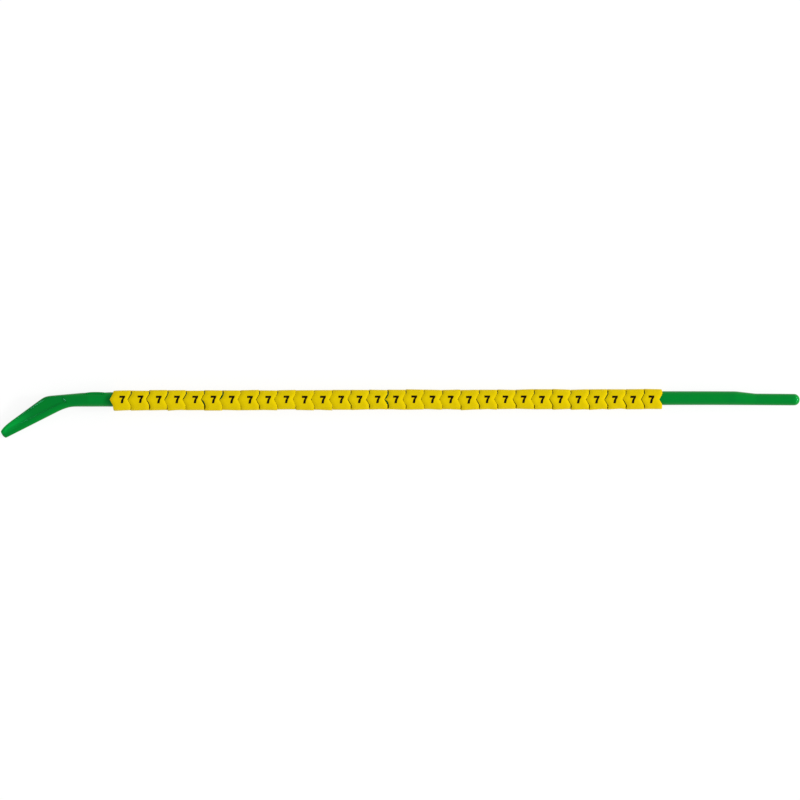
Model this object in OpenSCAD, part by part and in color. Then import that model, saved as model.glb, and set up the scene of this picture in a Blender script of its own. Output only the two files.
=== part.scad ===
// A wand loaded with number markers: short soft sleeves threaded in a row on a moulded rod.
// The rod's bent, flattened nose has a pocket that seats the end of a wire, so that the sleeves
// are pushed over the nose and onto the wire. The rod's thinner tail is the end they are loaded from.
// X runs along the wand from nose to tail and Z is up, with the part lying as it rests on a table.

/* [Markers] */
// Number of markers on the wand
marker_count = 30; // [4:1:40]
// Length of a marker from shoulder to shoulder
marker_len = 4.85; // [3:0.05:8]
// Gap between one marker and the next
marker_gap = 0.15; // [0.05:0.05:0.5]
// Wall of a marker
marker_wall = 0.3; // [0.2:0.05:0.8]
// Radial clearance of a marker's bore on the thickest part of the shank
bore_clearance = 0.35; // [0.15:0.05:0.6]
// Smallest gap left between the bore and the shank where a marker hangs against it
seat_gap = 0.05; // [0.02:0.01:0.12]
// How far the pointed end of a marker stands out past its shoulders
point_depth = 0.85; // [0.3:0.05:1.5]
// Height of the pointed end, across the marker
point_height = 3.2; // [1.5:0.1:3.8]
// Rounding of a marker's corners, seen from above
corner_r = 0.15; // [0.1:0.05:0.8]

/* [Shank] */
// Diameter of the shank at the nose end
shank_front_d = 4.0; // [3:0.1:5]
// Diameter of the shank at the tail end
shank_back_d = 3.8; // [3:0.1:5]
// Distance from the first marker's shoulders to the start of the round shank
shank_from = 2.4; // [1.7:0.1:4]
// Length of the wand past the last marker
tail_free = 37.6; // [25:0.1:60]

/* [Tail] */
// Diameter of the thin tail
tail_d = 3.2; // [2:0.1:3.6]
// Length of the thin tail, with its round end
tail_len = 12.1; // [6:0.1:16]
// Diameter of the small flat on the tail's round end
end_flat_d = 0.6; // [0.2:0.1:1.2]
// Length of the ramp from the shank down to the tail
ramp_len = 5.4; // [2:0.1:8]

/* [Nose] */
// Distance from the first marker's shoulders to the point where the nose bends away
bend_from = 14.9; // [12:0.1:20]
// Angle of the nose to the shank
nose_angle = 31.5; // [20:0.5:40]
// Length of the nose from the bend to its tip
nose_len = 18.2; // [12:0.1:24]
// Width of the nose at its tip
tip_width = 2.85; // [2:0.05:4]
// Angle by which each edge of the nose opens out from the tip
nose_taper = 4.7; // [2:0.1:7]
// Thickness of the nose at its tip
tip_thick = 1.5; // [1:0.1:2.5]
// How much of the tip's pointed corner is rounded away along the wand
tip_trim = 0.48; // [0.1:0.02:0.7]
// Distance from the first marker's shoulders to where the upper flank starts to slope
flank_from = 6.8; // [4:0.1:9]
// Slope of the upper flank between the shank and the nose
flank_angle = 5.2; // [2:0.1:9]
// Radius of the upper corner of the nose
upper_corner_r = 3.3; // [1:0.1:6]
// Radius of the bend on the lower side
lower_bend_r = 9.3; // [4:0.1:14]
// Radius of the tip's lower corner
tip_corner_r = 0.6; // [0.2:0.1:1.2]
// Angle of the tip's rounded front to the shank
tip_front_angle = 60; // [45:1:70]
// Distance along the wand from the tip to where its front meets the upper edge
tip_front = 0.41; // [0.2:0.01:0.7]
// Radius of the tip's upper corner
tip_upper_r = 7.6; // [2:0.1:10]
// How square the nose's section is, where 2 is an ellipse
nose_square = 3.2; // [2.5:0.1:5]

/* [Wire pocket] */
// Depth of the pocket below the crest of the nose
pocket_depth = 0.35; // [0.2:0.05:0.7]
// Width of the rim left beside the upper edge
upper_rim = 0.35; // [0.2:0.05:0.8]
// Width of the rim left beside the lower edge
lower_rim = 1.75; // [0.8:0.05:2]
// Distance by which the pocket starts ahead of the bend
pocket_lead = 1.65; // [1:0.05:3]
// Length of the slope at the pocket's start
pocket_slope = 0.7; // [0.5:0.05:2]
// How far the pocket's other walls lean out from floor to rim
pocket_draft = 0.3; // [0.05:0.05:0.4]
// Distance from the end of the pocket to the tip
pocket_tip_gap = 1.3; // [0.8:0.1:3]
// Rounding of the pocket's corners
pocket_corner_r = 0.4; // [0.1:0.05:0.6]

/* [Retaining nub] */
// Distance from the first marker's shoulders to the nub
nub_from = 1.5; // [1.2:0.1:3]
// Length of the nub's level top
nub_flat = 2.0; // [1.5:0.1:4]
// Length of the slope at each end of the nub
nub_slope = 2.4; // [1.5:0.1:3]
// Height of the nub above the shank
nub_height = 0.13; // [0.08:0.01:0.25]
// Thickness of the nub between its flat sides
nub_thick = 2.5; // [1.5:0.1:3]
// Rounding of the nub's top, seen from above
nub_round = 8; // [2:0.5:10]

/* [Hidden] */
$fn = 64;
arc_steps = 6;
slices = 40;
slice_points = 28;
// How far the nose and the ramp stay inside the round rod where they meet it
meet_step = 0.02;

front_r = shank_front_d / 2;
back_r = shank_back_d / 2;
tail_r = tail_d / 2;
neck_r = front_r - meet_step;

// Height of the tail's round end, down to where the tail is straight
dome_h = sqrt(tail_r * tail_r - end_flat_d * end_flat_d / 4);

// A marker's bore fits the thickest part of the shank, and the marker hangs to one side in it
bore_r = max(front_r, back_r) + bore_clearance;
marker_r = bore_r + marker_wall;
marker_shift = bore_clearance - seat_gap;
marker_pitch = marker_len + marker_gap;
row_len = marker_count * marker_pitch - marker_gap;

// Stations along the wand, measured from the first marker's shoulders
tail_end_x = row_len + tail_free;
tail_x = tail_end_x - tail_len;
ramp_x = tail_x - ramp_len;
front_x = -shank_from;
flank_x = -flank_from;
bend_x = -bend_from;

// The nose's axis, and the two corners of its tip
nose_dir = [-cos(nose_angle), -sin(nose_angle)];
nose_side = [-sin(nose_angle), cos(nose_angle)];
tip_upper = nose_point(nose_len, tip_width / 2);
tip_lower = nose_point(nose_len, -tip_width / 2);
tip_x = tip_upper.x + tip_trim;

// The crest of the nose falls from the shank's top to the tip, and its underside stays level
crest_drop = 2 * neck_r - tip_thick;
crest_angle = atan(crest_drop / (flank_x - tip_x));

// The wand rolls about its shank until the nose's tip rests on the table with the markers
lie_angle = asin((marker_r - neck_r) / (nose_len * sin(nose_angle)));

// The frame's origin is under the middle of the whole part, between the nose's lowest edge and the markers
nose_low = min([for (i = [0 : slices]) lower_edge(slice_x(i))]) * cos(lie_angle);
mid_x = (tip_x + tail_end_x) / 2;
mid_y = (nose_low + marker_r - marker_shift) / 2;

function marker_name(i) = str("marker_", i < 10 ? "0" : "", i);

// A point along the nose's axis and to its upper side
function nose_point(along, side) = [bend_x, 0] + along * nose_dir + side * nose_side;

// The lower and the higher of two heights, blended over a height k where they cross
function blend_low(a, b, k) = min(a, b) - pow(max(k - abs(a - b), 0), 2) / (4 * k);
function blend_high(a, b, k) = -blend_low(-a, -b, k);

// The blend that rounds the corner between two slopes to a radius
function corner_blend(r, from, to) = r * (tan(to) - tan(from)) * tan((to - from) / 2);

// A rise from 0 to 1 with level ends
function ease(t) = let (c = min(max(t, 0), 1)) c * c * (3 - 2 * c);

// The nose's outline from above: its upper and lower edges at a station along the wand
function upper_edge(x) =
    let (flank = neck_r + (x - flank_x) * tan(flank_angle),
         slope = nose_angle + nose_taper,
         edge = tip_upper.y + (x - tip_upper.x) * tan(slope),
         front = edge + (x - tip_x - tip_front) * (tan(tip_front_angle) - tan(slope)),
         shoulder = blend_low(neck_r, flank, corner_blend(lower_bend_r, 0, flank_angle)),
         outer = blend_low(shoulder, edge, corner_blend(upper_corner_r, flank_angle, slope)))
    blend_low(outer, front, corner_blend(tip_upper_r, slope, tip_front_angle));

function lower_edge(x) =
    let (edge = tip_lower.y + (x - tip_lower.x) * tan(nose_angle - nose_taper),
         end = tip_upper.y - (x - tip_upper.x) / tan(nose_angle),
         bend = corner_blend(lower_bend_r, 0, nose_angle - nose_taper),
         corner = corner_blend(tip_corner_r, nose_angle - 90, nose_angle - nose_taper))
    blend_high(blend_low(-neck_r, edge, bend), end, corner);

// One closed slice of the nose across the wand, round at the shank and squarer towards the tip
function nose_slice(x) =
    let (top = upper_edge(x), low = lower_edge(x),
         half_w = (top - low) / 2, mid = (top + low) / 2,
         crest = neck_r - max(flank_x - x, 0) * tan(crest_angle),
         tip_round = sqrt(min(1, 2 * half_w / tip_width)),
         half_t = tip_round * (crest + neck_r) / 2, mid_z = (crest - neck_r) / 2,
         power = 2 / (2 + (nose_square - 2) * ease((flank_x - x) / (flank_x - bend_x))))
    [for (k = [0 : slice_points - 1])
        let (a = 360 * k / slice_points, c = cos(a), s = sin(a))
        [x, mid + half_w * sign(c) * pow(abs(c), power), mid_z + half_t * sign(s) * pow(abs(s), power)]];

// The stations of the slices, closer together towards the tip
function slice_x(i) = tip_x + (front_x - tip_x) * (1 - cos(90 * i / slices));

// A corner of an outline replaced by an arc that touches both of its edges
function round_corner(before, at, after, r) =
    let (u = (before - at) / norm(before - at), v = (after - at) / norm(after - at),
         half = acos(u * v) / 2,
         centre = at + (u + v) / norm(u + v) * r / sin(half),
         start = at + u * r / tan(half) - centre,
         turn = (180 - 2 * half) * sign(u.x * v.y - u.y * v.x))
    [for (i = [0 : arc_steps])
        let (a = -turn * i / arc_steps)
        centre + [start.x * cos(a) - start.y * sin(a), start.x * sin(a) + start.y * cos(a)]];

// An outline with each corner rounded to its own radius, where 0 leaves the corner sharp
function rounded(points, radii) =
    let (n = len(points))
    [for (i = [0 : n - 1])
        each radii[i] == 0 ? [points[i]]
            : round_corner(points[(i + n - 1) % n], points[i], points[(i + 1) % n], radii[i])];

// A marker from above: a point at the nose end and a notch of the same form at the tail end
module marker_outline() {
    h = point_height / 2;
    w = marker_r;
    polygon(rounded(
        [[0, w], [0, h], [-point_depth, 0], [0, -h], [0, -w],
         [marker_len, -w], [marker_len, -h], [marker_len - point_depth, 0], [marker_len, h], [marker_len, w]],
        [corner_r, 0, 0, 0, corner_r, corner_r, 0, 0, 0, corner_r]));
}

module along_x(x) {
    translate([x, 0, 0]) rotate([0, 90, 0]) children();
}

module tube(x, length) {
    difference() {
        along_x(x) cylinder(r = marker_r, h = length);
        along_x(x - 1) cylinder(r = bore_r, h = length + 2);
    }
}

module marker(i) {
    color("gold")
        in_frame()
        translate([(i - 1) * marker_pitch, -marker_shift, 0])
        intersection() {
            tube(-point_depth, marker_len + point_depth);
            linear_extrude(2 * marker_r + 2, center = true) marker_outline();
        }
}

// The bent, flattened nose as one loft of slices from its tip to the shank
module nose_loft() {
    n = slice_points;
    points = [for (i = [0 : slices]) each nose_slice(slice_x(i))];
    walls = [for (i = [0 : slices - 1], k = [0 : n - 1])
        let (a = i * n + k, b = i * n + (k + 1) % n)
        each [[a, b + n, b], [a, a + n, b + n]]];
    tip_cap = [for (k = [0 : n - 1]) k];
    shank_cap = [for (k = [n - 1 : -1 : 0]) slices * n + k];
    polyhedron(points, concat(walls, [tip_cap, shank_cap]));
}

// The pocket from above: it follows both edges of the nose and ends square at the shank
module pocket_outline(inset, lead) {
    function side_at(along) = tip_width / 2 + (nose_len - along) * tan(nose_taper) - inset;
    end = nose_len - pocket_tip_gap - inset;
    end_r = min(pocket_corner_r, 0.45 * (2 * side_at(end) - lower_rim - upper_rim));
    polygon(rounded(
        [nose_point(-lead, lower_rim - side_at(-lead)),
         nose_point(end, lower_rim - side_at(end)),
         nose_point(end, side_at(end) - upper_rim),
         nose_point(pocket_lead, side_at(pocket_lead) - upper_rim),
         nose_point(-lead, 0)],
        [0, end_r, end_r, upper_corner_r - upper_rim, 0]));
}

// The pocket's walls lean out to its rim, and its end at the shank is a long slope
module wire_pocket() {
    layer = 0.01;
    translate([flank_x, 0, neck_r])
        rotate([0, -crest_angle, 0])
        translate([-flank_x, 0, 0])
        hull() {
            translate([0, 0, -pocket_depth])
                linear_extrude(layer) pocket_outline(pocket_draft, pocket_lead - pocket_slope);
            linear_extrude(neck_r) pocket_outline(0, pocket_lead);
        }
}

// The nub is a flat-sided pad on the shank's upper side, whose ends run down into the rod
module nub() {
    near = -nub_from;
    far = near - 2 * nub_slope - nub_flat;
    top = front_r + nub_height;
    root = neck_r / 2;
    tuck = 0.8 * nub_slope;
    linear_extrude(nub_thick, center = true)
        polygon(rounded(
            [[near, neck_r], [near - nub_slope, top], [far + nub_slope, top], [far, upper_edge(far) - meet_step],
             [far + tuck, root], [near - tuck, root]],
            [0, nub_round, nub_round, 0, 0, 0]));
}

module shank() {
    along_x(front_x) cylinder(r1 = front_r, r2 = back_r, h = ramp_x - front_x);
}

// The ramp falls on the upper side alone, so the tail stays flush with the shank's lower side
module ramp() {
    disc = 0.01;
    hull() {
        along_x(ramp_x) cylinder(r = back_r - meet_step, h = disc);
        translate([0, tail_r - back_r, 0]) along_x(tail_x - disc) cylinder(r = tail_r - meet_step, h = disc);
    }
}

// The tail is turned from half of its profile, a bar whose round end has a small flat at its middle
module tail() {
    translate([0, tail_r - back_r, 0])
        along_x(tail_x)
        rotate_extrude()
        intersection() {
            union() {
                square([tail_r, tail_len - dome_h]);
                translate([0, tail_len - dome_h]) circle(r = tail_r);
            }
            square([tail_r, tail_len]);
        }
}

module wand() {
    color("seagreen")
        in_frame()
        rotate([lie_angle, 0, 0]) {
            difference() {
                nose_loft();
                wire_pocket();
            }
            nub();
            shank();
            ramp();
            tail();
        }
}

module in_frame() {
    translate([-mid_x, -mid_y, marker_r]) children();
}

wand();
for (i = [1 : marker_count])
    marker(i);
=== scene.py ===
"""A wand loaded with a row of number sleeves, dressed for a studio picture taken from straight above."""

import math
import random

import bmesh
import bpy
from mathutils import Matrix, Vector


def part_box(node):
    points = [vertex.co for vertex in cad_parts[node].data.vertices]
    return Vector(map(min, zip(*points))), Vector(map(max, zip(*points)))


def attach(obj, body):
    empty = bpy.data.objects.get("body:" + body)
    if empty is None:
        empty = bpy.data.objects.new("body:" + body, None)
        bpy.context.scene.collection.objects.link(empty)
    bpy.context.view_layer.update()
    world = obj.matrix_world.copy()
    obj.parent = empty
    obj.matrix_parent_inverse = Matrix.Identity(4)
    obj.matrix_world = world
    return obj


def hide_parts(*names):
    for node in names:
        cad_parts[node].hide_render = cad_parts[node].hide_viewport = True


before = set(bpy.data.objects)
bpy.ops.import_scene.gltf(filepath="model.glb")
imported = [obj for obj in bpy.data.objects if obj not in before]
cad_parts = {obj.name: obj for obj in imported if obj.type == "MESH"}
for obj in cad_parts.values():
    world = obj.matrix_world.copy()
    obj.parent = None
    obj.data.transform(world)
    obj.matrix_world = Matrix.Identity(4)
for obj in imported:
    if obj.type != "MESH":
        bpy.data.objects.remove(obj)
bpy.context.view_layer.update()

# Sizes are in millimetres, and X runs along the wand from the first sleeve's shoulders
MM = 0.001

# Sleeves
SLEEVES = 30
PITCH = 5.0
SLEEVE_LEN = 4.85
SLEEVE_R = 2.65
SLEEVE_WALL = 0.3
BORE_R = SLEEVE_R - SLEEVE_WALL
POINT_DEPTH = 0.85
POINT_HALF = 1.6
CORNER_R = 0.1
FIRST_CORNER_R = 0.7
LAST_CORNER_R = 0.3
RIM_ROUND = 0.07
SLEEVE_SIDES = 96
SLEEVE_CUTS = 3
# Edges that turn by more than this are rounded, or shaded as sharp
RIM_ANGLE = math.radians(40)
SHADE_ANGLE = math.radians(35)
# The gap left at the side where a sleeve hangs on the wand
SEAT_GAP = 0.05
# How far the row's axis then lies from the wand's
HANG = 0.3

# How each gap's upper and lower arm look, along the row: closed, slit, hairline, open, wide or (W) widest
UPPER_GAPS = "ohoohwchscccsswscsssssssssosh"
LOWER_GAPS = "coccwcchcccchhWsccshshshhhhoh"
# How far such an arm is trimmed: along the V, and at the shoulder outside it
GAP_CUTS = {
    "c": (-0.13, -0.06),
    "s": (-0.11, 0.08),
    "h": (0.04, 0.12),
    "o": (0.18, 0.18),
    "w": (0.36, 0.25),
    "W": (0.46, 0.3),
}
# Over how much of the V the trim grows from its middle, and where the shoulder's trim takes over
ARM_RUN = 0.4
SHOULDER_FROM = 1.1
SHOULDER_RUN = 0.5
# Lower down on the sleeve, every gap is all but closed
UNDER_CUT = -0.147
UNDER_FROM = 1.15
UNDER_RUN = 0.6
# The part of a sleeve that is trimmed with its pointed end
POINTED_PART = SLEEVE_LEN / 2 - 1

# The sleeves' roll on the wand in degrees, from the first to the last, and how far each strays from it
FIRST_ROLL = -5.7
LAST_ROLL = 1.8
ROLL_SPREAD = 1
# How far each sleeve strays from the true round form, and from its true seat
WIDE_SPREAD = 0.022
TALL_SPREAD = 0.015
FLARE_SPREAD = 0.02
TURN_SPREAD = 0.012
SEAT_SPREAD = 0.05

# How far a sleeve's flanks bulge at its pointed and its notched end, and where across it that starts
UPPER_BULGES = ((0.0, 0.17), (0.0, 0.17))
LOWER_BULGES = ((-0.05, 0.3), (-0.15, 0.17))
BULGE_FROM = 1.5

# Shank and tail
FRONT_R = 2.0
BACK_R = 1.9
ROW_LEN = SLEEVES * PITCH - (PITCH - SLEEVE_LEN)
TAIL_FREE = 37.6
TAIL_LEN = 12.1
RAMP_LEN = 5.4
TAIL_END = ROW_LEN + TAIL_FREE
TAIL_X = TAIL_END - TAIL_LEN
RAMP_X = TAIL_X - RAMP_LEN
TAIL_R = 1.6
# Where the free end starts to bow to one side, and how far it has bowed at its end
BOW_X = 155.0
BOW = 0.22
BOW_POWER = 1.5

# Neck and nose
NECK_R = 1.98
BEND_X = -14.9
NOSE_ANGLE = math.radians(31.5)
NOSE_LEN = 18.2
NOSE_TAPER = math.radians(4.7)
TIP_HALF = 1.425
TIP_THICK = 1.5
TIP_TRIM = 0.48
TIP_END = 18.25
TIP_ROUND_LOW = 0.65
TIP_ROUND_HIGH = 0.25
TIP_EDGE = 0.6
TIP_HEART = -0.1
TIP_LEAN = 0.69
LEAN_FROM = 14.4
LEAN_POWER = 2.6
FLANK_X = -6.8
FLANK_ANGLE = math.radians(5.2)
UPPER_CORNER_R = 3.3
LOWER_BEND_R = 9.3
NOSE_SQUARE = 3.2
# The nose's edge is sought by halving, no farther from its axis than this
REACH_MOST = 6.0
REACH_HALVINGS = 30

# The wire pocket on the nose
ROOT_DEPTH = 0.24
TIP_DEPTH = 0.1
UPPER_RIM = 0.35
LOWER_RIM = 1.65
POCKET_WALL = 0.4
# The most of a narrow nose that its lower rim and a pocket wall may take
RIM_SHARE = 0.6
WALL_SHARE = 0.35
POCKET_ROOT = -1.7
POCKET_FLOOR = -1.2
POCKET_END = NOSE_LEN - 1.3
POCKET_NEAR = -14.5
POCKET_FAR = -29.0

# The nub that keeps the sleeves on
NUB_NEAR = -1.5
NUB_FAR = -8.3
NUB_SLOPE = 2.4
NUB_TOP = 2.13
NUB_HALF = 1.25
NUB_GROOVE = 0.12
NUB_RUN = 1.1
NUB_SOFT_NEAR = 0.02
NUB_SOFT_FAR = 0.06

# From here the rings fan out, from square to the shank to square to the nose
FAN_X = -8.6
# The wand is rolled by this, so that the nose's tip lies on the table with the sleeves
LIE_ANGLE = math.asin((SLEEVE_R - NECK_R) / (NOSE_LEN * math.sin(NOSE_ANGLE)))


def deselect():
    if bpy.context.mode != "OBJECT":
        bpy.ops.object.mode_set(mode="OBJECT")
    bpy.ops.object.select_all(action="DESELECT")


def pick(piece):
    deselect()
    piece.select_set(True)
    bpy.context.view_layer.objects.active = piece


def apply_all(piece):
    pick(piece)
    for modifier in list(piece.modifiers):
        bpy.ops.object.modifier_apply(modifier=modifier.name)


def settle_in_place(piece):
    pick(piece)
    bpy.ops.object.transform_apply(location=True, rotation=True, scale=True)


# The outline of the wand's nose, seen from above

def ease(t):
    t = min(max(t, 0.0), 1.0)
    return t * t * (3 - 2 * t)


def blend_low(a, b, k):
    return min(a, b) - max(k - abs(a - b), 0.0) ** 2 / (4 * k)


def corner_blend(radius, start, end):
    return radius * (math.tan(end) - math.tan(start)) * math.tan((end - start) / 2)


def nose_point(along, side):
    c, s = math.cos(NOSE_ANGLE), math.sin(NOSE_ANGLE)
    return Vector((BEND_X - along * c - side * s, -along * s + side * c))


TIP_UPPER = nose_point(NOSE_LEN, TIP_HALF)
TIP_LOWER = nose_point(NOSE_LEN, -TIP_HALF)
CREST_SLOPE = (2 * NECK_R - TIP_THICK) / (FLANK_X - TIP_UPPER.x - TIP_TRIM)


def upper_line(x):
    flank = NECK_R + (x - FLANK_X) * math.tan(FLANK_ANGLE)
    edge = TIP_UPPER.y + (x - TIP_UPPER.x) * math.tan(NOSE_ANGLE + NOSE_TAPER)
    shoulder = blend_low(NECK_R, flank, corner_blend(LOWER_BEND_R, 0, FLANK_ANGLE))
    return blend_low(shoulder, edge, corner_blend(UPPER_CORNER_R, FLANK_ANGLE, NOSE_ANGLE + NOSE_TAPER))


def lower_line(x):
    edge = TIP_LOWER.y + (x - TIP_LOWER.x) * math.tan(NOSE_ANGLE - NOSE_TAPER)
    return blend_low(-NECK_R, edge, corner_blend(LOWER_BEND_R, 0, NOSE_ANGLE - NOSE_TAPER))


def crest(x):
    return NECK_R - max(FLANK_X - x, 0.0) * CREST_SLOPE


def reach(along, side):
    """How far the nose's edge lies to one side of its axis."""
    near, far = 0.0, REACH_MOST
    for _ in range(REACH_HALVINGS):
        middle = (near + far) / 2
        x, y = nose_point(along, side * middle)
        inside = y < upper_line(x) if side > 0 else y > lower_line(x)
        near, far = (middle, far) if inside else (near, middle)
    return near


def lean(along):
    """How far the upper edge has leaned in towards the nose's axis, near the tip."""
    return TIP_LEAN * max((along - LEAN_FROM) / (TIP_END - LEAN_FROM), 0.0) ** LEAN_POWER


def nub_edge(x):
    """The nub's edge seen from above: a level top with a long slope at each end."""
    near = NECK_R + (NUB_NEAR - x) * (NUB_TOP - NECK_R) / NUB_SLOPE
    root = upper_line(NUB_FAR)
    far = root + (x - NUB_FAR) * (NUB_TOP - root) / NUB_SLOPE
    return blend_low(blend_low(near, NUB_TOP, NUB_SOFT_NEAR), far, NUB_SOFT_FAR)


def nub_share(x):
    return ease((NUB_NEAR - x) / NUB_RUN) * ease((x - NUB_FAR) / NUB_RUN)


# The rings of points that the wand is extruded through

SIDE_ANGLES = [0, 9, 18, 27, 36]
TOP_ANGLES = [49.5, 63, 76.5, 90, 103.5, 117, 130.5]
UNDER_ANGLES = [144, 153, 162, 171] + list(range(180, 360, 10))
RING_ANGLES = [math.radians(a) for a in SIDE_ANGLES + TOP_ANGLES + UNDER_ANGLES]
TOP_FIRST = len(SIDE_ANGLES)
FLOOR_LINES = range(TOP_FIRST + 1, TOP_FIRST + 5)
RING = len(RING_ANGLES)
# The lines along the wand that edge the nub's outer wall, and the one where its top meets the wand
NUB_UPPER = 3
NUB_LOWER = RING - 3
NUB_BORDER = 4
# The heights of a ring's points on that wall
NUB_WALL = {
    0: 0.0,
    1: 0.42,
    2: 0.84,
    NUB_UPPER: NUB_HALF,
    NUB_LOWER: -NUB_HALF,
    RING - 2: -0.84,
    RING - 1: -0.42,
}
# Where rings stand along the wand: closer together where its form changes
CAP_ANGLES = (10, 22, 34, 46, 58, 70, 80)
TAIL_STATIONS = (TAIL_END - TAIL_R, TAIL_END - 6, TAIL_X + 2, TAIL_X + 0.5, TAIL_X)
RAMP_SHARES = (0.12, 0.5, 0.88)
SHANK_END = RAMP_X - 3
SHANK_STEPS = 20
NECK_X = -1.0
NUB_STATIONS = (
    -1.5, -1.9, -2.3, -2.6, -3.1, -3.7, -4.3, -4.9,
    -5.5, -6.1, -6.7, -7.2, -7.6, -8.0, -8.3, FAN_X)
FAN_STEPS = 6
# Shares of the slope at the pocket's root, and how much of its depth the pocket has there
ROOT_SLOPE = ((0.1, 0.05), (0.5, 0.5), (0.9, 0.95), (1.0, 1.0))
FLOOR_STEPS = 15
TIP_BACKS = (1.0, 0.72, 0.5, 0.33, 0.19, 0.09, 0.02)


def rim_places(width):
    """Where the seven lines along the nose's top lie across it: -1 is its lower edge and 1 its upper."""
    high = width - UPPER_RIM
    low = min(LOWER_RIM, RIM_SHARE * high)
    wall = min(POCKET_WALL, WALL_SHARE * (high - low))
    floor_low, floor_high = low + wall, high - wall
    third = (floor_high - floor_low) / 3
    lines = [high, floor_high, floor_high - third, floor_low + third, floor_low, low, low / 2]
    return [2 * line / width - 1 for line in lines]


def round_ring(x, y, radius):
    return [Vector((x, y + radius * math.cos(a), radius * math.sin(a))) for a in RING_ANGLES]


def bow(x):
    """How far the wand's free end has bowed to one side."""
    return -BOW * max((x - BOW_X) / (TAIL_END - BOW_X), 0.0) ** BOW_POWER


def shank_ring(x):
    radius = FRONT_R + (BACK_R - FRONT_R) * x / RAMP_X
    return round_ring(x, bow(x), radius)


def nose_ring(low, high, nose=1.0, depth=0.0, width=None, thin=1.0):
    """One ring across the nose between two points of its outline, with the pocket's floor sunk by depth."""
    middle, half = (low + high) / 2, (high - low) / 2
    places = rim_places(width or (high - low).length)
    squareness = 2 + (NOSE_SQUARE - 2) * ease((FLANK_X - middle.x) / (FLANK_X - BEND_X))
    power = 2 / squareness
    points = []
    for k, a in enumerate(RING_ANGLES):
        c, s = math.cos(a), math.sin(a)
        u = math.copysign(abs(c) ** power, c)
        w = math.copysign(abs(s) ** power, s)
        top = k - TOP_FIRST
        if 0 <= top < len(TOP_ANGLES):
            u += (places[top] - u) * nose
            w = (1 - abs(u) ** squareness) ** (1 / squareness)
        x, y = middle + half * u
        height = (crest(x) + NECK_R) / 2
        z = crest(x) - height + height * thin * w
        if k in FLOOR_LINES:
            floor = crest(x) - depth
            z = min(floor, z) if depth else z
        points.append(Vector((x, y, z)))
    return points


def nub_ring(x):
    """One ring across the wand at the nub, whose flat-sided pad stands on the upper side."""
    points = nose_ring(*across(x), nose=0.0)
    share = nub_share(x)
    for k, z in NUB_WALL.items():
        upright = max(nub_edge(x), upper_line(x)) + (z - NUB_HALF) * math.tan(LIE_ANGLE)
        points[k] += (Vector((x, upright, z)) - points[k]) * share
    border = upper_line(x) - NECK_R + math.sqrt(NECK_R ** 2 - NUB_HALF ** 2)
    points[NUB_BORDER] += (Vector((x, border, NUB_HALF - NUB_GROOVE)) - points[NUB_BORDER]) * share
    return points


def round_off(back, depth):
    """How much of its size a round end keeps at a distance back from it."""
    return math.sqrt(1 - max(1 - back / depth, 0.0) ** 2)


def across(x):
    return Vector((x, lower_line(x))), Vector((x, upper_line(x)))


def nose_cut(along):
    return nose_point(along, -reach(along, -1)), nose_point(along, reach(along, 1) - lean(along))


def tip_ring(back):
    """One ring across the rounded tip, at a distance back from its end."""
    along = TIP_END - back
    low, high = nose_cut(along)
    heart = nose_point(along, TIP_HEART)
    near_low = heart + (low - heart) * round_off(back, TIP_ROUND_LOW)
    near_high = heart + (high - heart) * round_off(back, TIP_ROUND_HIGH)
    return nose_ring(near_low, near_high, width=(high - low).length, thin=round_off(back, TIP_EDGE))


def tail_rings():
    """The tail's round end, the thin tail, and the ramp up to the shank."""
    rings = []
    tail_y = TAIL_R - BACK_R
    for angle in CAP_ANGLES:
        a = math.radians(angle)
        x = TAIL_END - TAIL_R * (1 - math.cos(a))
        rings.append(round_ring(x, tail_y + bow(x), TAIL_R * math.sin(a)))
    for x in TAIL_STATIONS:
        rings.append(round_ring(x, tail_y + bow(x), TAIL_R))
    for share in RAMP_SHARES:
        x = TAIL_X - RAMP_LEN * share
        rings.append(round_ring(x, tail_y * (1 - share) + bow(x), TAIL_R + (BACK_R - TAIL_R) * share))
    return rings


def shank_rings():
    """The shank that carries the sleeves, from the ramp to the neck."""
    rings = [shank_ring(x) for x in (RAMP_X, RAMP_X - 0.6, SHANK_END)]
    for i in range(1, SHANK_STEPS):
        rings.append(shank_ring(SHANK_END * (1 - i / SHANK_STEPS)))
    return rings + [shank_ring(0), shank_ring(NECK_X)]


def fan_rings():
    """The bend, where the rings turn from the shank's direction to the nose's."""
    rings = []
    root_low, root_high = nose_cut(POCKET_ROOT)
    for i in range(1, FAN_STEPS):
        share = i / FAN_STEPS
        low_x = FAN_X + (root_low.x - FAN_X) * share
        high_x = FAN_X + (root_high.x - FAN_X) * share
        low, high = Vector((low_x, lower_line(low_x))), Vector((high_x, upper_line(high_x)))
        rings.append(nose_ring(low, high, nose=ease(share)))
    return rings + [nose_ring(root_low, root_high)]


def pocket_rings():
    """The nose along its pocket, which starts with a slope and grows shallower towards the tip."""
    rings = []
    slope = POCKET_FLOOR - POCKET_ROOT
    for share, sunk in ROOT_SLOPE:
        rings.append(nose_ring(*nose_cut(POCKET_ROOT + slope * share), depth=ROOT_DEPTH * sunk))
    floor_end = POCKET_END - POCKET_WALL
    for i in range(1, FLOOR_STEPS + 1):
        share = i / FLOOR_STEPS
        depth = ROOT_DEPTH + (TIP_DEPTH - ROOT_DEPTH) * share
        rings.append(nose_ring(*nose_cut(POCKET_FLOOR + (floor_end - POCKET_FLOOR) * share), depth=depth))
    return rings + [nose_ring(*nose_cut(POCKET_END))]


def wand_rings():
    nub_rings = [nub_ring(x) for x in NUB_STATIONS]
    tip_rings = [tip_ring(back) for back in TIP_BACKS]
    return tail_rings() + shank_rings() + nub_rings + fan_rings() + pocket_rings() + tip_rings


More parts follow.
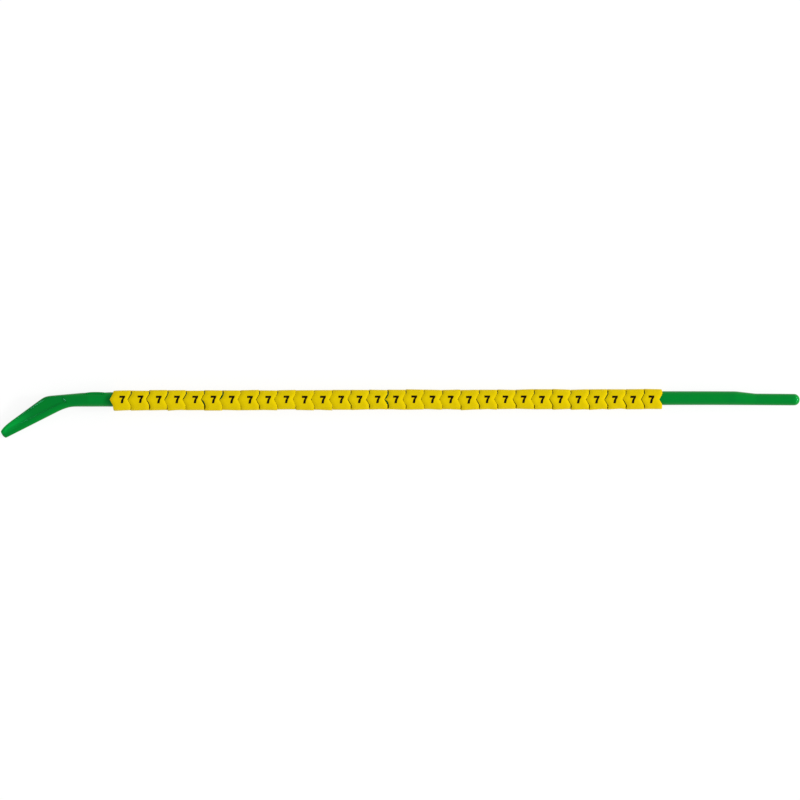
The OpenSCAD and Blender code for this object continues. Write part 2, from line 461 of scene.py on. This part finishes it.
def keep_sharp(mesh, rings):
    """Creases the nub's edges and the pocket's rim, so that they stay crisp when smoothed."""
    crease = mesh.edges.layers.float.new("crease_edge")
    line_of = {tuple(round(c, 4) for c in point): k for ring in rings for k, point in enumerate(ring)}
    sharp = {NUB_UPPER: 0.7, NUB_BORDER: 0.6, NUB_LOWER: 0.7}
    rim = {TOP_FIRST: 0.5, TOP_FIRST + 1: 0.3, TOP_FIRST + 4: 0.4, TOP_FIRST + 5: 0.6}
    for edge in mesh.edges:
        ends = [line_of[tuple(round(c, 4) for c in vert.co)] for vert in edge.verts]
        x = (edge.verts[0].co.x + edge.verts[1].co.x) / 2
        if ends[0] != ends[1]:
            continue
        if NUB_FAR < x < NUB_NEAR:
            edge[crease] = sharp.get(ends[0], 0.0) * nub_share(x)
        elif POCKET_FAR < x < POCKET_NEAR:
            edge[crease] = rim.get(ends[0], 0.0)


def model_wand():
    """Extrudes a ring of points through the wand's stations, from the tail's end to the nose's tip."""
    rings = wand_rings()
    deselect()
    bpy.ops.mesh.primitive_circle_add(vertices=RING, fill_type="NGON")
    piece = bpy.context.object
    piece.name = "marker_wand"
    bpy.ops.object.mode_set(mode="EDIT")
    for i, ring in enumerate(rings):
        if i:
            bpy.ops.mesh.extrude_region_move()
        mesh = bmesh.from_edit_mesh(piece.data)
        cap = next(face for face in mesh.faces if face.select)
        for vert, point in zip(cap.verts, ring):
            vert.co = point
        bmesh.update_edit_mesh(piece.data)
    keep_sharp(bmesh.from_edit_mesh(piece.data), rings)
    bpy.ops.mesh.select_all(action="SELECT")
    bpy.ops.mesh.normals_make_consistent(inside=False)
    bpy.ops.object.mode_set(mode="OBJECT")
    smooth = piece.modifiers.new("smooth", "SUBSURF")
    smooth.levels = smooth.render_levels = 2
    apply_all(piece)
    bpy.ops.object.shade_smooth()
    return piece


# Sleeves and their printed figures

def point_shift(y):
    return POINT_DEPTH * max(0.0, 1 - abs(y) / POINT_HALF)


def corner_shift(y, radius):
    past = min(max(abs(y) - (SLEEVE_R - radius), 0.0), radius)
    return radius - math.sqrt(radius ** 2 - past ** 2)


def model_sleeve(left_corner=CORNER_R, right_corner=CORNER_R):
    """One sleeve at the origin: a soft tube with a point at its left end and a notch at its right end."""
    deselect()
    bpy.ops.mesh.primitive_cylinder_add(
        vertices=SLEEVE_SIDES, radius=SLEEVE_R, depth=SLEEVE_LEN, end_fill_type="NOTHING",
        location=(SLEEVE_LEN / 2, 0, 0), rotation=(0, math.pi / 2, 0))
    piece = bpy.context.object
    piece.name = "sleeve"
    settle_in_place(piece)
    for vert in piece.data.vertices:
        left = vert.co.x < SLEEVE_LEN / 2
        corner = corner_shift(vert.co.y, left_corner) if left else -corner_shift(vert.co.y, right_corner)
        vert.co.x += corner - point_shift(vert.co.y)
    bpy.ops.object.mode_set(mode="EDIT")
    mesh = bmesh.from_edit_mesh(piece.data)
    for edge in mesh.edges:
        edge.select_set(len(edge.link_faces) == 2)
    bpy.ops.mesh.subdivide(number_cuts=SLEEVE_CUTS)
    bpy.ops.object.mode_set(mode="OBJECT")
    wall = piece.modifiers.new("wall", "SOLIDIFY")
    wall.thickness = SLEEVE_WALL
    wall.offset = -1
    rims = piece.modifiers.new("rims", "BEVEL")
    rims.width = RIM_ROUND
    rims.segments = 2
    rims.limit_method = "ANGLE"
    rims.angle_limit = RIM_ANGLE
    rims.use_clamp_overlap = False
    apply_all(piece)
    bpy.ops.object.shade_smooth_by_angle(angle=SHADE_ANGLE)
    return piece


# A figure's height, its place along the first sleeve, and how that drifts from each sleeve to the next
FIGURE_H = 2.08
FIGURE_X = 2.56
FIGURE_DRIFT = -0.0232
# How far the ink stands proud of the sleeve, and how far it reaches in
FIGURE_FILM = 0.015
FIGURE_SUNK = 0.06
FIGURE_CUTS = 10


def model_figure():
    """The printed figure on a sleeve: a flat outline, cut across so that it can lie round the sleeve."""
    h = FIGURE_H / 2
    outline = [
        (-0.76, h), (-0.76, 0.45), (0.1, 0.45), (-0.25, -0.14), (-0.43, -h),
        (0.22, -h), (0.4, -0.02), (0.8, 0.64), (0.8, h)]
    deselect()
    bpy.ops.mesh.primitive_circle_add(vertices=len(outline), fill_type="NGON")
    piece = bpy.context.object
    piece.name = "figure"
    for vert, (x, y) in zip(piece.data.vertices, outline):
        vert.co = (x, y, 0)
    bpy.ops.object.mode_set(mode="EDIT")
    bpy.ops.mesh.extrude_region_move(TRANSFORM_OT_translate={"value": (0, 0, 1)})
    for i in range(1, FIGURE_CUTS):
        bpy.ops.mesh.select_all(action="SELECT")
        bpy.ops.mesh.bisect(plane_co=(0, -h + FIGURE_H * i / FIGURE_CUTS, 0), plane_no=(0, 1, 0))
    bpy.ops.mesh.select_all(action="SELECT")
    bpy.ops.mesh.remove_doubles(threshold=0.001)
    bpy.ops.mesh.normals_make_consistent(inside=False)
    bpy.ops.object.mode_set(mode="OBJECT")
    for vert in piece.data.vertices:
        radius = SLEEVE_R + (FIGURE_FILM if vert.co.z > 0.5 else -FIGURE_SUNK)
        vert.co.z = math.sqrt(radius ** 2 - vert.co.y ** 2)
    return piece


def copy_piece(piece, name):
    made = piece.copy()
    made.data = piece.data.copy()
    made.name = made.data.name = name
    bpy.context.scene.collection.objects.link(made)
    return made


def lay_on_wand(piece, lie, along=0.0):
    """Gives a sleeve, or the figure along it, the squash, turn, bulge and place that it has on the wand."""
    cos_roll, sin_roll = math.cos(lie["roll"]), math.sin(lie["roll"])
    for vert in piece.data.vertices:
        x, y, z = vert.co
        x += along
        flare = 1 + lie["flare"] * (x / SLEEVE_LEN - 0.5)
        y, z = y * flare, z * flare
        y, z = y * cos_roll - z * sin_roll, y * sin_roll + z * cos_roll
        y, z = y * lie["wide"], z * lie["tall"]
        y += lie["turn"] * (x - SLEEVE_LEN / 2)
        pointed, notched = lie["upper"] if y > 0 else lie["lower"]
        bulge = pointed + (notched - pointed) * x / SLEEVE_LEN
        y += math.copysign(bulge * ease((abs(y) - BULGE_FROM) / (SLEEVE_R - BULGE_FROM)), y)
        vert.co = lie["place"] + Vector((x, y, z)) * MM


def cut_ends(piece, upper, lower):
    """Trims a sleeve's pointed end, so that its gap to the sleeve before opens or closes on top."""
    for vert in piece.data.vertices:
        x, y, z = vert.co
        if x < POINTED_PART:
            arm, shoulder = upper if y > 0 else lower
            cut = arm * ease(abs(y) / ARM_RUN)
            cut += (shoulder - cut) * ease((abs(y) - SHOULDER_FROM) / SHOULDER_RUN)
            cut += (UNDER_CUT - cut) * ease((UNDER_FROM - z) / UNDER_RUN)
            vert.co.x += cut


# Materials

# The sockets of a colour Mix node: its share, its two colours and its result
MIX_SHARE = 0
MIX_FIRST = 6
MIX_SECOND = 7
MIX_RESULT = 2


def new_material(name):
    material = bpy.data.materials.new(name)
    material.use_nodes = True
    nodes, links = material.node_tree.nodes, material.node_tree.links
    return material, nodes, links, nodes["Principled BSDF"]


def plastic_skin():
    """A node group for moulded plastic: a slow drift of colour and gloss, and a fine grain."""
    group = bpy.data.node_groups.new("plastic_skin", "ShaderNodeTree")
    face = group.interface
    colour_kind, value_kind = "NodeSocketColor", "NodeSocketFloat"
    for name in ("Colour", "Drift colour"):
        face.new_socket(name, in_out="INPUT", socket_type=colour_kind)
    for name in ("Drift size", "Grain size", "Roughness low", "Roughness high"):
        face.new_socket(name, in_out="INPUT", socket_type=value_kind)
    for name, kind in (("Colour", colour_kind), ("Roughness", value_kind), ("Grain", value_kind)):
        face.new_socket(name, in_out="OUTPUT", socket_type=kind)
    nodes, links = group.nodes, group.links
    given = nodes.new("NodeGroupInput")
    made = nodes.new("NodeGroupOutput")
    place = nodes.new("ShaderNodeTexCoord")
    drift = nodes.new("ShaderNodeTexNoise")
    drift.inputs["Detail"].default_value = 3
    drift.inputs["Roughness"].default_value = 0.6
    grain = nodes.new("ShaderNodeTexNoise")
    grain.inputs["Detail"].default_value = 4
    links.new(place.outputs["Object"], drift.inputs["Vector"])
    links.new(place.outputs["Object"], grain.inputs["Vector"])
    links.new(given.outputs["Drift size"], drift.inputs["Scale"])
    links.new(given.outputs["Grain size"], grain.inputs["Scale"])
    share = nodes.new("ShaderNodeMapRange")
    share.inputs["From Min"].default_value = 0.3
    share.inputs["From Max"].default_value = 0.7
    links.new(drift.outputs["Fac"], share.inputs["Value"])
    colour = nodes.new("ShaderNodeMix")
    colour.data_type = "RGBA"
    links.new(share.outputs["Result"], colour.inputs[MIX_SHARE])
    links.new(given.outputs["Colour"], colour.inputs[MIX_FIRST])
    links.new(given.outputs["Drift colour"], colour.inputs[MIX_SECOND])
    rough = nodes.new("ShaderNodeMapRange")
    links.new(grain.outputs["Fac"], rough.inputs["Value"])
    links.new(given.outputs["Roughness low"], rough.inputs["To Min"])
    links.new(given.outputs["Roughness high"], rough.inputs["To Max"])
    links.new(colour.outputs[MIX_RESULT], made.inputs["Colour"])
    links.new(rough.outputs["Result"], made.inputs["Roughness"])
    links.new(grain.outputs["Fac"], made.inputs["Grain"])
    return group


SKIN = plastic_skin()


def place_skin(nodes, **values):
    """Places the skin in a material, with a value for each of its inputs."""
    skin = nodes.new("ShaderNodeGroup")
    skin.node_tree = SKIN
    for name, value in values.items():
        skin.inputs[name.replace("_", " ").capitalize()].default_value = value
    return skin


def grain_bump(nodes, links, skin, shader, distance, strength):
    bump = nodes.new("ShaderNodeBump")
    bump.inputs["Distance"].default_value = distance
    bump.inputs["Strength"].default_value = strength
    links.new(skin.outputs["Grain"], bump.inputs["Height"])
    links.new(bump.outputs["Normal"], shader.inputs["Normal"])


# Where a painted light makes the plastic paler: along the nose from its bend, and across it from its lower
# side to its upper side
PAINTED_LIGHT_ALONG = (7.0, 15.5)
PAINTED_LIGHT_ACROSS = (0.8, -0.6)


def green_plastic(bend):
    """Glossy moulded green plastic, with a painted light on the nose's upper side towards its tip: a paler
    green where light falls there.
    """
    material, nodes, links, shader = new_material("green_plastic")
    skin = place_skin(
        nodes, colour=(0.0, 0.215, 0.017, 1), drift_colour=(0.0, 0.198, 0.02, 1),
        drift_size=260.0, grain_size=2600.0, roughness_low=0.1, roughness_high=0.17)
    place = nodes.new("ShaderNodeTexCoord")
    from_bend = nodes.new("ShaderNodeVectorMath")
    from_bend.operation = "SUBTRACT"
    from_bend.inputs[1].default_value = bend
    links.new(place.outputs["Object"], from_bend.inputs[0])
    turn = nodes.new("ShaderNodeMapping")
    turn.inputs["Rotation"].default_value = (0, 0, math.pi - NOSE_ANGLE)
    links.new(from_bend.outputs[0], turn.inputs["Vector"])
    split = nodes.new("ShaderNodeSeparateXYZ")
    links.new(turn.outputs["Vector"], split.inputs["Vector"])
    # thin is the painted light's share: largest on the nose's upper side towards its tip, where light falls
    thin = nodes.new("ShaderNodeMath")
    thin.operation = "MULTIPLY"
    for i, (way, start, end) in enumerate((("X", *PAINTED_LIGHT_ALONG), ("Y", *PAINTED_LIGHT_ACROSS))):
        share = nodes.new("ShaderNodeMapRange")
        share.interpolation_type = "SMOOTHSTEP"
        share.inputs["From Min"].default_value = start * MM
        share.inputs["From Max"].default_value = end * MM
        links.new(split.outputs[way], share.inputs["Value"])
        links.new(share.outputs["Result"], thin.inputs[i])
    # Painted light: a paler green mixed into the plastic where light falls on the nose's upper side towards
    # its tip
    painted_light = nodes.new("ShaderNodeMix")
    painted_light.data_type = "RGBA"
    painted_light.inputs[MIX_SECOND].default_value = (0.0, 0.375, 0.04, 1)
    links.new(thin.outputs[0], painted_light.inputs[MIX_SHARE])
    links.new(skin.outputs["Colour"], painted_light.inputs[MIX_FIRST])
    links.new(painted_light.outputs[MIX_RESULT], shader.inputs["Base Color"])
    links.new(skin.outputs["Roughness"], shader.inputs["Roughness"])
    shader.inputs["Specular IOR Level"].default_value = 0.2
    shader.inputs["Specular Tint"].default_value = (0.16, 1.0, 0.65, 1)
    grain_bump(nodes, links, skin, shader, distance=0.00002, strength=0.1)
    return material


def yellow_sleeve():
    """Soft yellow sleeve plastic with a dull skin."""
    material, nodes, links, shader = new_material("yellow_sleeve")
    skin = place_skin(
        nodes, colour=(0.74, 0.56, 0.0008, 1), drift_colour=(0.7, 0.525, 0.0008, 1),
        drift_size=420.0, grain_size=3400.0, roughness_low=0.45, roughness_high=0.6)
    links.new(skin.outputs["Colour"], shader.inputs["Base Color"])
    links.new(skin.outputs["Roughness"], shader.inputs["Roughness"])
    shader.inputs["Specular IOR Level"].default_value = 0.02
    grain_bump(nodes, links, skin, shader, distance=0.00003, strength=0.3)
    return material


def print_ink():
    """Dark printing ink, a little uneven where it took to the sleeve."""
    material, nodes, links, shader = new_material("print_ink")
    skin = place_skin(
        nodes, colour=(0.006, 0.003, 0.001, 1), drift_colour=(0.016, 0.009, 0.002, 1),
        drift_size=1800.0, grain_size=6000.0, roughness_low=0.5, roughness_high=0.7)
    links.new(skin.outputs["Colour"], shader.inputs["Base Color"])
    links.new(skin.outputs["Roughness"], shader.inputs["Roughness"])
    shader.inputs["Specular IOR Level"].default_value = 0.03
    grain_bump(nodes, links, skin, shader, distance=0.00001, strength=0.2)
    return material


def finish_piece(piece, material, body):
    piece.data.materials.clear()
    piece.data.materials.append(material)
    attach(piece, body)


# The CAD's first sleeve says where the row lies in the frame
first_low, first_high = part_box("marker_01")
ROW_X = first_low.x + POINT_DEPTH * MM
ROW_Y = (first_low.y + first_high.y) / 2
ROW_Z = (first_low.z + first_high.z) / 2
WAND_Y = ROW_Y + HANG * MM

GREEN = green_plastic((ROW_X + BEND_X * MM, WAND_Y, ROW_Z))
YELLOW = yellow_sleeve()
INK = print_ink()

wand = model_wand()
wand.scale = (MM, MM, MM)
wand.rotation_euler = (LIE_ANGLE, 0, 0)
wand.location = (ROW_X, WAND_Y, ROW_Z)
settle_in_place(wand)
finish_piece(wand, GREEN, "wand")
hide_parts("wand")

chance = random.Random(7)
flank_chance = random.Random(58419)


def sleeve_lie(i):
    """How one sleeve of the row lies on the wand, with its own small stray from the true form and place."""
    wide = 1 + chance.uniform(-WIDE_SPREAD, WIDE_SPREAD)
    seat = SEAT_GAP + chance.uniform(0.0, SEAT_SPREAD)
    hang = BORE_R * wide - FRONT_R - seat
    row_roll = FIRST_ROLL + (LAST_ROLL - FIRST_ROLL) * i / (SLEEVES - 1)
    return {
        "wide": wide,
        "tall": 1 - chance.uniform(0.0, TALL_SPREAD),
        "flare": chance.uniform(-FLARE_SPREAD, FLARE_SPREAD),
        "turn": chance.uniform(-TURN_SPREAD, TURN_SPREAD),
        "roll": math.radians(row_roll + chance.uniform(-ROLL_SPREAD, ROLL_SPREAD)),
        "upper": [flank_chance.uniform(*span) for span in UPPER_BULGES],
        "lower": [flank_chance.uniform(*span) for span in LOWER_BULGES],
        "place": Vector((ROW_X + i * PITCH * MM, WAND_Y - hang * MM, ROW_Z)),
    }


inner_form = model_sleeve()
first_form = model_sleeve(left_corner=FIRST_CORNER_R)
last_form = model_sleeve(right_corner=LAST_CORNER_R)
figure_form = model_figure()
sleeve_forms = [first_form] + [inner_form] * (SLEEVES - 2) + [last_form]
for i, form in enumerate(sleeve_forms):
    lie = sleeve_lie(i)
    number = f"{i + 1:02d}"
    sleeve = copy_piece(form, "sleeve_" + number)
    if i:
        cut_ends(sleeve, GAP_CUTS[UPPER_GAPS[i - 1]], GAP_CUTS[LOWER_GAPS[i - 1]])
    lay_on_wand(sleeve, lie)
    finish_piece(sleeve, YELLOW, "marker_row")
    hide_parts("marker_" + number)
    figure = copy_piece(figure_form, "figure_" + number)
    lay_on_wand(figure, lie, FIGURE_X + FIGURE_DRIFT * i)
    finish_piece(figure, INK, "marker_row")
for form in (inner_form, first_form, last_form, figure_form):
    bpy.data.objects.remove(form)


# Studio

FLOOR_SIZE = 6
# The floor lies just under the lowest sleeve
FLOOR_Z = -0.00003


def seen_directly(nodes, links):
    """1 for camera, mirror and see-through rays, and 0 for the rays that light the scene."""
    path = nodes.new("ShaderNodeLightPath")
    either = nodes.new("ShaderNodeMath")
    either.operation = "MAXIMUM"
    links.new(path.outputs["Is Camera Ray"], either.inputs[0])
    links.new(path.outputs["Is Glossy Ray"], either.inputs[1])
    any_of = nodes.new("ShaderNodeMath")
    any_of.operation = "MAXIMUM"
    links.new(either.outputs[0], any_of.inputs[0])
    links.new(path.outputs["Is Transmission Ray"], any_of.inputs[1])
    return any_of.outputs[0]


def studio_floor():
    deselect()
    bpy.ops.mesh.primitive_plane_add(size=FLOOR_SIZE, location=(0, 0, FLOOR_Z))
    floor = bpy.context.object
    floor.name = "studio_floor"
    settle_in_place(floor)
    material = bpy.data.materials.new("white_floor")
    material.use_nodes = True
    nodes, links = material.node_tree.nodes, material.node_tree.links
    nodes.clear()
    seen = seen_directly(nodes, links)
    paper = nodes.new("ShaderNodeBsdfDiffuse")
    paper.inputs["Color"].default_value = (0.8, 0.8, 0.8, 1)
    shown = nodes.new("ShaderNodeBsdfDiffuse")
    shown.inputs["Color"].default_value = (0.16, 0.16, 0.16, 1)
    glow = nodes.new("ShaderNodeEmission")
    glow.inputs["Strength"].default_value = 0.86
    both = nodes.new("ShaderNodeAddShader")
    links.new(shown.outputs[0], both.inputs[0])
    links.new(glow.outputs[0], both.inputs[1])
    mix = nodes.new("ShaderNodeMixShader")
    links.new(seen, mix.inputs[0])
    links.new(paper.outputs[0], mix.inputs[1])
    links.new(both.outputs[0], mix.inputs[2])
    out = nodes.new("ShaderNodeOutputMaterial")
    links.new(mix.outputs[0], out.inputs["Surface"])
    floor.data.materials.append(material)


def studio_world():
    world = bpy.data.worlds.new("studio")
    bpy.context.scene.world = world
    world.use_nodes = True
    nodes, links = world.node_tree.nodes, world.node_tree.links
    nodes.clear()
    seen = seen_directly(nodes, links)
    ambient = nodes.new("ShaderNodeBackground")
    ambient.inputs["Strength"].default_value = 0.45
    shown = nodes.new("ShaderNodeBackground")
    shown.inputs["Strength"].default_value = 1.0
    for shade in (ambient, shown):
        shade.inputs["Color"].default_value = (1, 1, 1, 1)
    mix = nodes.new("ShaderNodeMixShader")
    links.new(seen, mix.inputs[0])
    links.new(ambient.outputs[0], mix.inputs[1])
    links.new(shown.outputs[0], mix.inputs[2])
    out = nodes.new("ShaderNodeOutputWorld")
    links.new(mix.outputs[0], out.inputs["Surface"])


def softbox(name, place, size, watts):
    light = bpy.data.lights.new(name, "AREA")
    light.shape = "RECTANGLE"
    light.size, light.size_y = size
    light.energy = watts
    lamp = bpy.data.objects.new(name, light)
    lamp.location = place
    lamp.rotation_euler = (-Vector(place)).to_track_quat("-Z", "Y").to_euler()
    bpy.context.scene.collection.objects.link(lamp)


studio_floor()
studio_world()
softbox("key_strip", place=(2.34, 0.0, 0.9), size=(5.2, 0.54), watts=108.0)
softbox("key_softbox", place=(1.05, 0.0, 0.44), size=(0.12, 0.12), watts=5.0)
softbox("rim_softbox", place=(-0.457, 0.256, 0.494), size=(0.06, 0.06), watts=0.24)
softbox("low_softbox", place=(-0.678, -0.321, 0.34), size=(0.07, 0.07), watts=0.4)

# The photograph's frame, taken from straight above with a long lens
FRAME_PX = 800
PIXEL_MM = 0.27293
FRAME_MM = FRAME_PX * PIXEL_MM
LENS = 500
SENSOR = 36
# The wand lies this far from level in the frame
CAMERA_ROLL = math.radians(-0.135)
# Where the frame's middle and the wand's axis and middle lie in it
MIDDLE_PX = 399.5
WAND_ROW_PX = 398.24
WAND_MID_PX = 399.75
camera_data = bpy.data.cameras.new("camera")
camera_data.lens = LENS
camera_data.sensor_width = SENSOR
camera = bpy.data.objects.new("camera", camera_data)
camera.location = (
    (MIDDLE_PX - WAND_MID_PX) * PIXEL_MM * MM,
    WAND_Y - (MIDDLE_PX - WAND_ROW_PX) * PIXEL_MM * MM,
    ROW_Z + FRAME_MM * LENS / SENSOR * MM)
camera.rotation_euler = (0, 0, CAMERA_ROLL)
bpy.context.scene.collection.objects.link(camera)
bpy.context.scene.camera = camera
bpy.context.scene.view_settings.view_transform = "Standard"
